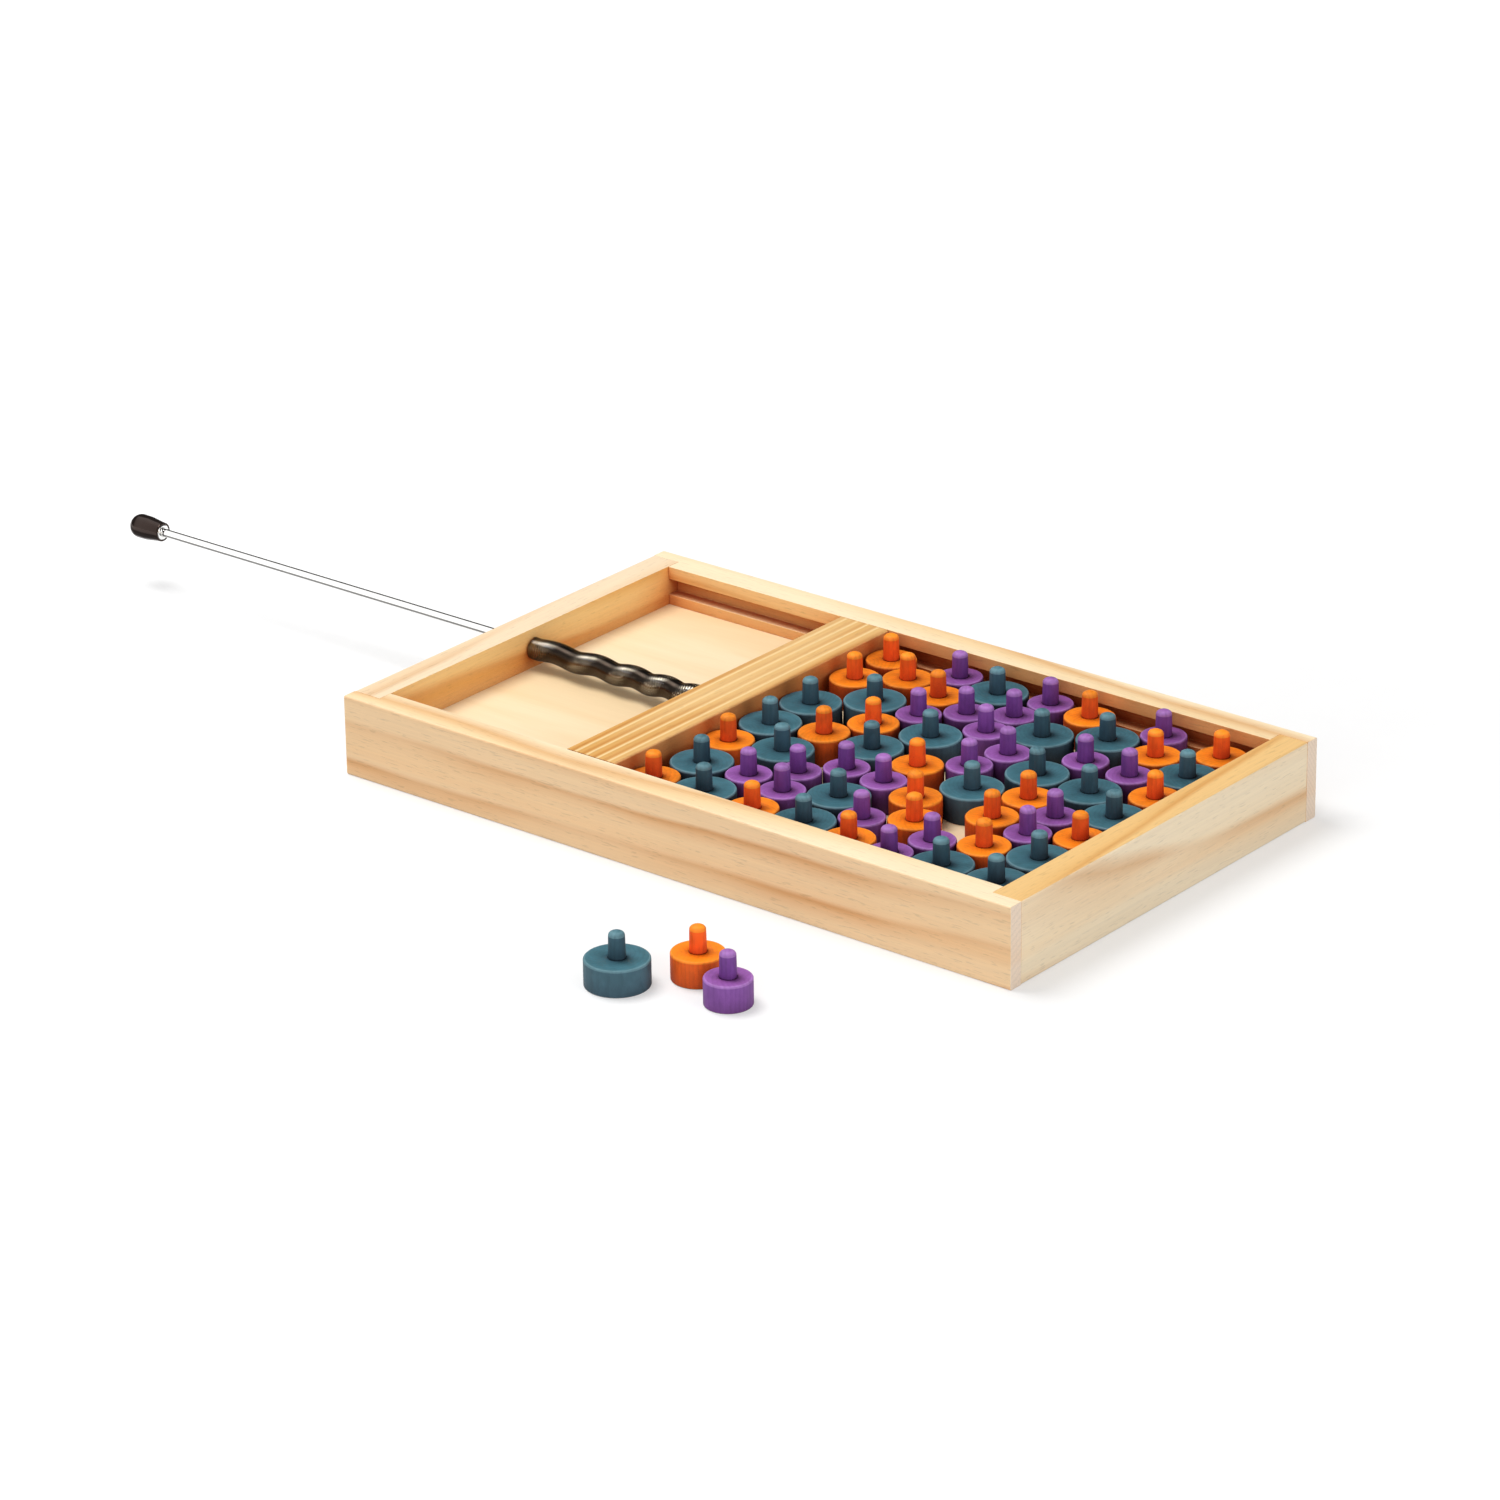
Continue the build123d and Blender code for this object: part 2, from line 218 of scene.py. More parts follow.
class Wiring:
    """A node tree and short calls that add nodes to it."""

    def __init__(self, tree):
        self.tree = tree
        self.coordinates = self.new("ShaderNodeTexCoord")

    def new(self, kind, **settings):
        node = self.tree.nodes.new(kind)
        for name, value in settings.items():
            setattr(node, name, value)
        return node

    def feed(self, socket, value):
        if isinstance(value, bpy.types.NodeSocket):
            self.tree.links.new(value, socket)
        else:
            socket.default_value = value

    def math(self, operation, *values, clamp=False):
        node = self.new("ShaderNodeMath", operation=operation, use_clamp=clamp)
        for socket, value in zip(node.inputs, values):
            self.feed(socket, value)
        return node.outputs[0]

    def scaled(self, vector, scale, shift=(0, 0, 0)):
        node = self.new("ShaderNodeMapping")
        self.feed(node.inputs["Vector"], vector)
        node.inputs["Scale"].default_value = scale
        node.inputs["Location"].default_value = shift
        return node.outputs[0]

    def noise(self, vector, detail=2.0, roughness=0.5, distortion=0.0):
        node = self.new("ShaderNodeTexNoise")
        self.feed(node.inputs["Vector"], vector)
        node.inputs["Scale"].default_value = 1.0
        node.inputs["Detail"].default_value = detail
        node.inputs["Roughness"].default_value = roughness
        node.inputs["Distortion"].default_value = distortion
        return node.outputs["Fac"]

    def between(self, value, low, high, to_low=0.0, to_high=1.0, smooth=True):
        node = self.new("ShaderNodeMapRange")
        node.interpolation_type = "SMOOTHSTEP" if smooth else "LINEAR"
        self.feed(node.inputs["Value"], value)
        node.inputs["From Min"].default_value = low
        node.inputs["From Max"].default_value = high
        node.inputs["To Min"].default_value = to_low
        node.inputs["To Max"].default_value = to_high
        return node.outputs["Result"]

    def mix(self, share, first, second, blend="MIX"):
        node = self.new("ShaderNodeMix", data_type="RGBA", blend_type=blend)
        factor, one, other = (s for s in node.inputs if s.enabled)
        self.feed(factor, share)
        self.feed(one, first)
        self.feed(other, second)
        return next(s for s in node.outputs if s.enabled)

    def lit(self, colour, gain):
        """A colour made lighter or darker by a number near 1."""
        node = self.new("ShaderNodeVectorMath", operation="SCALE")
        self.feed(node.inputs[0], colour if isinstance(colour, bpy.types.NodeSocket) else colour[:3])
        self.feed(node.inputs["Scale"], gain)
        return node.outputs[0]

    def pick(self, share, first, second):
        """A number between two others."""
        node = self.new("ShaderNodeMix", data_type="FLOAT")
        for socket, value in zip((s for s in node.inputs if s.enabled), (share, first, second)):
            self.feed(socket, value)
        return next(s for s in node.outputs if s.enabled)

    def dot(self, vector, direction):
        node = self.new("ShaderNodeVectorMath", operation="DOT_PRODUCT")
        self.feed(node.inputs[0], vector)
        node.inputs[1].default_value = direction
        return node.outputs["Value"]

    def parts(self, vector):
        node = self.new("ShaderNodeSeparateXYZ")
        self.feed(node.inputs[0], vector)
        return node.outputs


class Shader(Wiring):
    """A material on the standard surface."""

    def __init__(self, name):
        self.material = bpy.data.materials.new(name)
        self.material.use_nodes = True
        super().__init__(self.material.node_tree)
        self.surface = self.tree.nodes["Principled BSDF"]

    def closed_in(self, distance):
        """0 in the open, near 1 deep in a gap or a groove."""
        node = self.new("ShaderNodeAmbientOcclusion", samples=4)
        node.inputs["Distance"].default_value = distance
        return self.math("SUBTRACT", 1.0, node.outputs["AO"])

    def bump(self, height, strength, distance):
        node = self.new("ShaderNodeBump")
        self.feed(node.inputs["Height"], height)
        node.inputs["Strength"].default_value = strength
        node.inputs["Distance"].default_value = distance
        self.feed(self.surface.inputs["Normal"], node.outputs[0])

    def set(self, **values):
        for name, value in values.items():
            self.feed(self.surface.inputs[name.replace("_", " ")], value)


def ramp(shader, value, stops):
    """Colours along a value; stops are (place, colour)."""
    node = shader.new("ShaderNodeValToRGB")
    shader.feed(node.inputs[0], value)
    elements = node.color_ramp.elements
    while len(elements) < len(stops):
        elements.new(1.0)
    for element, (place, colour) in zip(elements, stops):
        element.position = place
        element.color = colour
    return node.outputs["Color"]


def board_axes(shader, along):
    """Values along, across and up a board, in metres."""
    x, y, z = shader.parts(shader.coordinates.outputs["Object"])
    return (x, y, z) if along == "X" else (y, x, z)


def vector(shader, x, y, z):
    node = shader.new("ShaderNodeCombineXYZ")
    for socket, value in zip(node.inputs, (x, y, z)):
        shader.feed(socket, value)
    return node.outputs[0]


def fibres(shader, board, waves=FIBRE_WAVES):
    """Fine fibres drawn out along the grain."""
    return shader.noise(shader.scaled(board, waves), detail=3.0)


def shaded_gaps(shader, colour, distance, share, tones):
    """Paints shade: deepens a colour, in full or by a share, where other surfaces close in on it."""
    closed = shader.math("MULTIPLY", shader.closed_in(distance), share)
    return shader.mix(1.0, colour, ramp(shader, closed, tones), blend="MULTIPLY")


def pine(name, along, top, side, spacing, lean, waver, slope=0.0, seed=0.0, ends=None, stops=PINE_STOPS):
    """Sawn pine: growth bands that waver along the board, with fibres and short resin flecks.

    top and side are each a pale, a tan and a dark tone; the side tones, deeper on most boards, are
    partly the wood's colour and partly painted shade where light from above reaches less.
    """
    shader = Shader(name)
    u, v, w = board_axes(shader, along)
    board = vector(shader, u, v, w)
    wander = shader.noise(shader.scaled(board, WANDER_WAVES, (seed, seed, 0)), detail=1.0)
    ripple = shader.noise(shader.scaled(board, RIPPLE_WAVES, (0, seed, seed)), detail=2.0)
    tilt = math.radians(lean)
    field = shader.math("MULTIPLY", w, math.cos(tilt) / spacing)
    field = shader.math("MULTIPLY_ADD", v, math.sin(tilt) / spacing, field)
    field = shader.math("MULTIPLY_ADD", wander, waver / spacing, field)
    field = shader.math("MULTIPLY_ADD", ripple, RIPPLE_SHARE * waver / spacing, field)
    field = shader.math("MULTIPLY_ADD", u, slope / spacing, field)
    share = shader.math("FRACT", field)
    uneven = shader.noise(shader.scaled(board, EVENING_WAVES, (0, 0, seed)), detail=1.0)
    evening = shader.between(uneven, 0.35, 0.7, 0.0, EVENING_SHARE)
    tones = []
    for palette in (side, top):
        banded = ramp(shader, share, [(place, palette[tone]) for place, tone in stops])
        tones.append(shader.mix(evening, banded, palette[0]))
    # Painted light and shade: tops take the top tones, sides the deeper side tones.
    facing_up = shader.between(shader.parts(shader.coordinates.outputs["Normal"])[2], 0.5, 0.9)
    colour = shader.mix(facing_up, *tones)
    fibre = fibres(shader, board)
    fleck = shader.noise(shader.scaled(board, FLECK_WAVES), detail=1.0)
    fleck = shader.between(fleck, 0.62, 0.70)
    gain = shader.between(fibre, 0.25, 0.75, 0.95, 1.04, smooth=False)
    gain = shader.math("MULTIPLY_ADD", fleck, -FLECK_DEPTH, gain)
    colour = shader.lit(colour, gain)
    if ends is not None:
        colour = end_grain(shader, colour, ends, v, w)
    # Painted shade: grooves and inner corners go deep red-brown where other surfaces close in.
    colour = shaded_gaps(shader, colour, WALL_GAP, shader.between(w, *GAP_HEIGHTS), WALL_GAP_SHADE_TONES)
    shader.set(Base_Color=colour, Roughness=shader.between(fibre, 0.2, 0.8, 0.5, 0.64))
    shader.surface.inputs["Specular IOR Level"].default_value = 0.2
    shader.bump(fibre, strength=0.25, distance=0.12 * MM)
    return shader.material


def end_grain(shader, colour, ends, across, up):
    """The sawn ends of a long board: cut fibres, a little greyer than its sides."""
    along = shader.parts(shader.coordinates.outputs["Normal"])[0]
    facing = shader.between(shader.math("ABSOLUTE", along), 0.75, 0.9)
    bend = shader.math("MULTIPLY", shader.math("POWER", across, 2.0), END_ARC_BEND)
    arcs = shader.math("ADD", up, bend)
    arcs = shader.math("FRACT", shader.math("DIVIDE", arcs, END_ARC_SPACING))
    pores = shader.noise(shader.scaled(vector(shader, 0.0, across, up), PORE_WAVES), detail=2.0)
    cut = shader.lit(ends, shader.between(arcs, 0.3, 1.0, 1.0, 0.93))
    cut = shader.lit(cut, shader.between(pores, 0.3, 0.7, 0.94, 1.04, smooth=False))
    return shader.mix(facing, colour, cut)


def plywood(name, pale, figure):
    """Pale face veneer with a faint broad figure and fine fibres along the tray."""
    shader = Shader(name)
    board = shader.coordinates.outputs["Object"]
    figured = shader.scaled(board, PLY_FIGURE_WAVES)
    broad = shader.noise(figured, detail=3.0, roughness=0.55, distortion=0.6)
    colour = shader.mix(shader.between(broad, 0.3, 0.75, 0.0, 0.8), pale, figure)
    fibre = fibres(shader, board, PLY_FIBRE_WAVES)
    colour = shader.lit(colour, shader.between(fibre, 0.25, 0.75, 0.97, 1.02, smooth=False))
    shader.set(Base_Color=colour, Roughness=0.62)
    shader.surface.inputs["Specular IOR Level"].default_value = 0.25
    shader.bump(fibre, strength=0.2, distance=0.08 * MM)
    return shader.material


def dyed_wood(name, body, cut, worn_and_sheen):
    """Stained beech: a darker side tone on the turned faces and a lighter one on top, painted shade and
    painted light from above; paler edges, partly rubbed wear and partly painted highlight.
    """
    shader = Shader(name)
    local = shader.new("ShaderNodeAttribute", attribute_name="local").outputs["Vector"]
    tone = shader.new("ShaderNodeAttribute", attribute_name="tone").outputs["Fac"]
    wear_and_sheen = shader.new("ShaderNodeAttribute", attribute_name="wear_and_sheen").outputs["Fac"]
    facing_up = shader.between(shader.parts(shader.coordinates.outputs["Normal"])[2], 0.6, 0.95)
    fibre = shader.noise(shader.scaled(local, STAIN_FIBRE_WAVES), detail=3.0, roughness=0.6)
    cloud = shader.noise(shader.scaled(local, STAIN_CLOUD_WAVES), detail=3.0)
    flat = shader.new("ShaderNodeVectorMath", operation="MULTIPLY")
    shader.feed(flat.inputs[0], local)
    flat.inputs[1].default_value = (1, 1, 0)
    reach = shader.new("ShaderNodeVectorMath", operation="LENGTH")
    shader.feed(reach.inputs[0], flat.outputs[0])
    ring = shader.math("MULTIPLY_ADD", cloud, RING_WOBBLE, reach.outputs["Value"])
    ring = shader.math("FRACT", shader.math("DIVIDE", ring, RING_SPACING))
    # Painted light and shade: the top tone is lighter, the side tone darker.
    colour = shader.mix(facing_up, body, cut)
    # Paler edges, partly wear and partly painted highlight; below 0 the tone goes darker round the peg's
    # foot.
    colour = shader.mix(shader.math("MULTIPLY", wear_and_sheen, WORN_AND_SHEEN_SHARE), colour, worn_and_sheen)
    gain = shader.between(fibre, 0.2, 0.8, 0.90, 1.10, smooth=False)
    gain = shader.math("MULTIPLY_ADD", shader.between(ring, 0.35, 1.0), -RING_DEPTH, gain)
    gain = shader.math("MULTIPLY_ADD", tone, PIECE_SPREAD, gain)
    gain = shader.math("MULTIPLY_ADD", shader.between(cloud, 0.3, 0.7, -1.0, 1.0), CLOUD_SPREAD, gain)
    colour = shader.lit(colour, gain)
    # Painted shade between neighbouring discs and round the pegs.
    colour = shaded_gaps(shader, colour, STAIN_GAP, 1.0, STAIN_GAP_SHADE_TONES)
    shader.set(Base_Color=colour, Roughness=shader.between(fibre, 0.2, 0.8, 0.52, 0.68))
    shader.surface.inputs["Specular IOR Level"].default_value = 0.25
    shader.bump(fibre, strength=0.35, distance=0.1 * MM)
    return shader.material


def metal(name, colour, roughness, streak, stretch, uneven=0.05):
    """Metal with drawn or ground streaks that change its roughness and tone a little."""
    shader = Shader(name)
    streaks = shader.noise(shader.scaled(shader.coordinates.outputs["Object"], stretch), detail=2.0)
    gain = shader.between(streaks, 0.2, 0.8, 1 - uneven, 1 + uneven, smooth=False)
    shader.set(
        Base_Color=shader.lit(colour, gain),
        Roughness=shader.between(streaks, 0.2, 0.8, roughness - streak, roughness + streak),
    )
    shader.surface.inputs["Metallic"].default_value = 1.0
    return shader.material


def spring_steel(name, oiled, rubbed_and_lit):
    """Blackened spring steel with a film of oil; brighter on the outside of each bend and on the side
    that faces the soft box, partly rubbed wear and partly painted highlight.
    """
    shader = Shader(name)
    polish_and_highlight = shader.new("ShaderNodeAttribute", attribute_name="polish_and_highlight").outputs["Fac"]
    cloud = shader.noise(shader.scaled(shader.coordinates.outputs["Object"], OIL_WAVES), detail=2.0)
    share = shader.math("MULTIPLY", polish_and_highlight, shader.between(cloud, 0.3, 0.7, 0.6, 1.2), clamp=True)
    shader.set(
        Base_Color=shader.mix(share, oiled, rubbed_and_lit),
        Roughness=shader.between(share, 0.0, 1.0, 0.22, 0.12),
    )
    shader.surface.inputs["Metallic"].default_value = 1.0
    shader.surface.inputs["Coat Weight"].default_value = 0.2
    shader.surface.inputs["Coat Roughness"].default_value = 0.12
    return shader.material


def moulded(name, colour, tint=(1.0, 1.0, 1.0, 1)):
    """Glossy moulded plastic with a trace of moulding haze."""
    shader = Shader(name)
    haze = shader.noise(shader.scaled(shader.coordinates.outputs["Object"], HAZE_WAVES), detail=3.0)
    shader.set(
        Base_Color=shader.lit(colour, shader.between(haze, 0.3, 0.7, 0.85, 1.15, smooth=False)),
        Roughness=shader.between(haze, 0.3, 0.7, 0.12, 0.18),
    )
    shader.surface.inputs["Specular IOR Level"].default_value = 0.5
    shader.surface.inputs["Specular Tint"].default_value = tint
    shader.bump(haze, strength=0.15, distance=0.05 * MM)
    return shader.material


def dress(node, material):
    """Gives a CAD node its material and eases its sharp edges without touching its mesh."""
    thing = nodes[node]
    thing.data.materials.clear()
    thing.data.materials.append(material)
    for polygon in thing.data.polygons:
        polygon.material_index = 0
    weld = thing.modifiers.new("weld", "WELD")
    weld.merge_threshold = WELD
    plain = thing.modifiers.new("plain_faces", "DECIMATE")
    plain.decimate_type = "DISSOLVE"
    plain.angle_limit = FLAT_ANGLE
    bevel = thing.modifiers.new("eased_edges", "BEVEL")
    bevel.width = EDGE_BEVEL
    bevel.segments = 2
    bevel.limit_method = "ANGLE"
    bevel.angle_limit = SHARP_ANGLE
    bevel.harden_normals = True


def corner(centre_radius, centre_height, radius, start, end):
    """Points round a quarter of a turned edge, each with the full paler edge tone, partly wear and
    partly painted highlight.
    """
    points = []
    for step in range(CORNER_STEPS + 1):
        angle = math.radians(start + (end - start) * step / CORNER_STEPS)
        at = (centre_radius + radius * math.cos(angle), centre_height + radius * math.sin(angle))
        points.append((*at, 1.0))
    return points


def disc_profile(radius, height, peg_radius):
    """From the middle of the foot, round the outside, to the glue ring by the peg.

    Each point is a radius, a height and its wear and sheen: 1 on edges made paler, partly from wear and
    partly as painted highlight; below 0 where the tone is made darker round the peg's foot.
    """
    foot = DISC_FOOT
    rim = DISC_ROUNDING
    return [
        (0.0, 0.0, 0.0),
        (radius - foot - SUPPORT, 0.0, 0.0),
        *corner(radius - foot, foot, foot, -90, 0),
        (radius, foot + SUPPORT, 0.3),
        (radius, height - rim - SUPPORT, 0.3),
        *corner(radius - rim, height - rim, rim, 0, 90),
        (radius - rim - SUPPORT, height, 0.2),
        (radius - 3 * rim, height, 0.0),
        (peg_radius + PEG_GLUE_RING + SUPPORT, height, 0.0),
        (peg_radius + PEG_GLUE_RING, height - SUPPORT, -0.6),
        (peg_radius + PEG_GLUE_RING / 2, height - PEG_GLUE_RING, -1.0),
        (0.0, height - PEG_GLUE_RING, -1.0),
    ]


def peg_profile(radius, height):
    """From just under the disc's top, up the dowel, to its rounded crown."""
    tip = radius * PEG_TAPER
    edge = PEG_ROUNDING
    shoulder = height - edge - PEG_CROWN
    crown = []
    for angle in (math.radians(30), math.radians(60)):
        drop = PEG_CROWN * (1 - math.sin(angle))
        crown.append(((tip - edge) * math.cos(angle), height - drop, 0.5))
    # Darker round the foot, paler on the crown, the crown partly as painted highlight.
    return [
        (0.0, -PEG_GLUE_RING, 0.0),
        (radius, -PEG_GLUE_RING, -0.8),
        (radius, 0.3 * MM, -0.3),
        (radius, 1.5 * MM, 0.0),
        (tip, shoulder - SUPPORT, 0.1),
        *corner(tip - edge, shoulder, edge, 0, 78),
        *crown,
        (0.0, height, 0.5),
    ]


def add_turned(store, profile, segments, base, draw):
    """Adds one turned piece to the lists of points, faces and point values."""
    points, faces, local, tone, wear_and_sheen = store
    reaches = (TREE_SPREAD, TREE_SPREAD, TREE_SPREAD_UP)
    tree = Vector([draw.uniform(-reach, reach) for reach in reaches]) * MM
    shade = draw.uniform(-1, 1)
    turn = draw.uniform(0, 2 * math.pi)
    rings = []
    for radius, height, worn_and_sheen in profile:
        count = 1 if radius == 0.0 else segments
        rings.append(range(len(points), len(points) + count))
        for k in range(count):
            angle = turn + 2 * math.pi * k / segments
            spot = Vector((radius * math.cos(angle), radius * math.sin(angle), height))
            points.append(base + spot)
            local.append(tree + spot)
            tone.append(shade)
            wear_and_sheen.append(worn_and_sheen)
    for low, high in zip(rings, rings[1:]):
        for k in range(segments):
            after = (k + 1) % segments
            if len(low) == 1:
                faces.append((low[0], high[after], high[k]))
            elif len(high) == 1:
                faces.append((low[k], low[after], high[0]))
            else:
                faces.append((low[k], low[after], high[after], high[k]))


def mesh_object(name, points, faces, material, smooth=True):
    mesh = bpy.data.meshes.new(name)
    mesh.from_pydata(points, [], faces)
    mesh.polygons.foreach_set("use_smooth", [smooth] * len(mesh.polygons))
    mesh.materials.append(material)
    mesh.update()
    thing = bpy.data.objects.new(name, mesh)
    bpy.context.scene.collection.objects.link(thing)
    return thing


def solids_of(node):
    """The lowest and highest corner of each separate solid in a CAD node."""
    mesh = bmesh.new()
    mesh.from_mesh(nodes[node].data)
    bmesh.ops.remove_doubles(mesh, verts=mesh.verts, dist=WELD)
    found = []
    seen = set()
    for start in mesh.verts:
        if start in seen:
            continue
        seen.add(start)
        pile = [start]
        group = []
        while pile:
            vert = pile.pop()
            group.append(vert.co.copy())
            for edge in vert.link_edges:
                other = edge.other_vert(vert)
                if other not in seen:
                    seen.add(other)
                    pile.append(other)
        low = Vector([min(p[i] for p in group) for i in range(3)])
        high = Vector([max(p[i] for p in group) for i in range(3)])
        found.append((low, high))
    mesh.free()
    return sorted(found, key=lambda box: (round(box[0].x, 6), round(box[0].y, 6)))


def turned_set(name, node, body, material, draw, make_profile, segments):
    """One object of finer turned pieces, standing where a CAD node's solids stand."""
    store = ([], [], [], [], [])
    for low, high in solids_of(node):
        centre = (low + high) / 2
        radius = max(high.x - low.x, high.y - low.y) / 2
        base = Vector((centre.x, centre.y, low.z))
        add_turned(store, make_profile(radius, high.z - low.z), segments, base, draw)
    points, faces, local, tone, wear_and_sheen = store
    thing = mesh_object(name, points, faces, material)
    spots = thing.data.attributes.new("local", "FLOAT_VECTOR", "POINT")
    spots.data.foreach_set("vector", [value for spot in local for value in spot])
    for attribute, values in (("tone", tone), ("wear_and_sheen", wear_and_sheen)):
        thing.data.attributes.new(attribute, "FLOAT", "POINT").data.foreach_set("value", values)
    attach(thing, body)
    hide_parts(node)
    return thing


def lathe_along_x(name, profile, segments, material):
    """A turned piece on the rod's axis; profile is (place along X, radius)."""
    points = []
    faces = []
    rings = []
    for x, radius in profile:
        count = 1 if radius == 0.0 else segments
        rings.append(range(len(points), len(points) + count))
        for k in range(count):
            angle = 2 * math.pi * k / segments
            points.append((x, ROD_Y + radius * math.sin(angle), ROD_Z + radius * math.cos(angle)))
    for low, high in zip(rings, rings[1:]):
        for k in range(segments):
            after = (k + 1) % segments
            if len(low) == 1:
                faces.append((low[0], high[k], high[after]))
            elif len(high) == 1:
                faces.append((low[after], low[k], high[0]))
            else:
                faces.append((low[after], low[k], high[k], high[after]))
    return mesh_object(name, points, faces, material)


def make_rod(material):
    """The plated rod, with eased ends."""
    ease = ROD_END_EASE
    start, end = ROD_LOW.x, ROD_HIGH.x
    profile = [
        (start, 0.0),
        (start, ROD_RADIUS - ease),
        (start + ease, ROD_RADIUS),
        (start + 2 * ease, ROD_RADIUS),
        (end - 2 * ease, ROD_RADIUS),
        (end - ease, ROD_RADIUS),
        (end, ROD_RADIUS - ease),
        (end, 0.0),
    ]
    rod = lathe_along_x("pull_rod", profile, ROD_SEGMENTS, material)
    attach(rod, "pusher")
    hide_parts("pusher_rod")


def make_cap(material):
    """The moulded cap: domed tip, swelling body, and a lip that closes in over the washer."""
    mouth = CAP_HIGH.x
    tip = CAP_LOW.x + CAP_TIP_INSET
    full = (CAP_HIGH.z - CAP_LOW.z) / 2
    lip = CAP_LIP_RADIUS
    socket = ROD_RADIUS + ROD_CLEARANCE
    dome = []
    for angle in map(math.radians, CAP_DOME_ANGLES):
        along = CAP_DOME_LENGTH * (1 - math.cos(angle))
        dome.append((tip + along, full * math.sin(angle) ** CAP_DOME_FULLNESS))
    profile = [
        (tip, 0.0),
        *dome,
        (mouth - 7.0 * MM, full - 0.12 * MM),
        (mouth - 1.6 * MM, lip + 0.1 * MM),
        (mouth - 0.5 * MM, lip),
        (mouth - 0.2 * MM, lip - 0.04 * MM),
        (mouth - 0.05 * MM, lip - 0.14 * MM),
        (mouth - 0.05 * MM, MOUTH_RADIUS + 0.12 * MM),
        (mouth - 0.12 * MM, MOUTH_RADIUS + 0.04 * MM),
        (mouth - 0.5 * MM, CAP_SEAT_RADIUS),
        (mouth - CAP_SEAT_DEPTH, CAP_SEAT_RADIUS),
        (mouth - CAP_SEAT_DEPTH, socket),
        (mouth - CAP_SOCKET_DEPTH, socket),
        (mouth - CAP_SOCKET_DEPTH, 0.0),
    ]
    cap = lathe_along_x("end_cap", profile, CAP_SEGMENTS, material)
    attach(cap, "pusher")
    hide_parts("rod_cap")


def make_washer(material):
    """The bright washer in the cap's mouth, bevelled outside and eased inside."""
    start, end = WASHER_LOW.x, WASHER_HIGH.x
    outer = (WASHER_HIGH.z - WASHER_LOW.z) / 2
    inner = ROD_RADIUS + ROD_CLEARANCE
    ease = WASHER_EASE
    profile = [
        (start, inner),
        (start, outer),
        (start + WASHER_FULL_SHARE * (end - start), outer),
        (end - ease, MOUTH_RADIUS),
        (end, MOUTH_RADIUS - ease),
        (end, inner + ease),
        (end - ease, inner),
        (start, inner),
    ]
    washer = lathe_along_x("mouth_washer", profile, ROD_SEGMENTS, material)
    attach(washer, "pusher")
    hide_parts("cap_washer")


def snake_phase(x):
    """Which way the spring bends out at a place along X, in radians from straight up."""
    run = (x - SPRING_LOW.x) / MM
    return math.radians(SNAKE_START + SNAKE_RATE * run + SNAKE_TIGHTENING * run * run)


def spring_axis(x):
    """The spring's own middle at a place along X: straight at the wall, then snaking."""
    swell = min(1.0, max(0.0, (x - SPRING_LOW.x) / SNAKE_STRAIGHT))
    swing = SNAKE_RADIUS * swell * swell * (3 - 2 * swell)
    phase = snake_phase(x)
    return Vector((x, ROD_Y + swing * math.sin(phase), ROD_Z - SPRING_SAG + swing * math.cos(phase)))


def make_spring(material):
    """The close-wound wire, one unbroken tube of many turns round the snaking axis."""
    half_wire = SPRING_WIRE / 2
    half_depth = SPRING_FLATNESS * half_wire
    radius = SPRING_DIAMETER / 2 - half_depth
    first = SPRING_LOW.x + half_wire
    last = SPRING_HIGH.x - half_wire
    steps = SPRING_TURNS * SPRING_POINTS_PER_TURN
    points = []
    polish_and_highlight = []
    for step in range(steps + 1):
        x = first + (last - first) * step / steps
        middle = spring_axis(x)
        ahead = (spring_axis(x + MM) - spring_axis(x - MM)).normalized()
        up = ahead.cross(Vector((0, 1, 0))).normalized()
        side = up.cross(ahead).normalized()
        angle = 2 * math.pi * step / SPRING_POINTS_PER_TURN
        out = side * math.sin(angle) + up * math.cos(angle)
        centre = middle + out * radius
        # Brighter on the outside of each bend and on the side facing the soft box: partly rubbed wear,
        # partly painted highlight.
        outward = max(0.0, math.cos(angle - snake_phase(x)))
        upward = max(0.0, math.cos(angle - RUBBED_AND_LIT_SIDE))
        for k in range(SPRING_SIDES):
            turn = 2 * math.pi * k / SPRING_SIDES
            outwards = out * (math.cos(turn) * half_depth)
            onwards = ahead * (math.sin(turn) * half_wire)
            points.append(centre + outwards + onwards)
            polish_and_highlight.append(outward * upward * max(0.0, math.cos(turn)))
    faces = []
    for step in range(steps):
        here = step * SPRING_SIDES
        there = here + SPRING_SIDES
        for k in range(SPRING_SIDES):
            after = (k + 1) % SPRING_SIDES
            faces.append((here + k, there + k, there + after, here + after))
    faces.append(tuple(range(SPRING_SIDES)))
    faces.append(tuple(reversed(range(steps * SPRING_SIDES, (steps + 1) * SPRING_SIDES))))
    spring = mesh_object("coil_spring", points, faces, material)
    spring.data.attributes.new("polish_and_highlight", "FLOAT", "POINT").data.foreach_set("value", polish_and_highlight)
    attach(spring, "tray")
    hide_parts("compression_spring")
    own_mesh(spring)


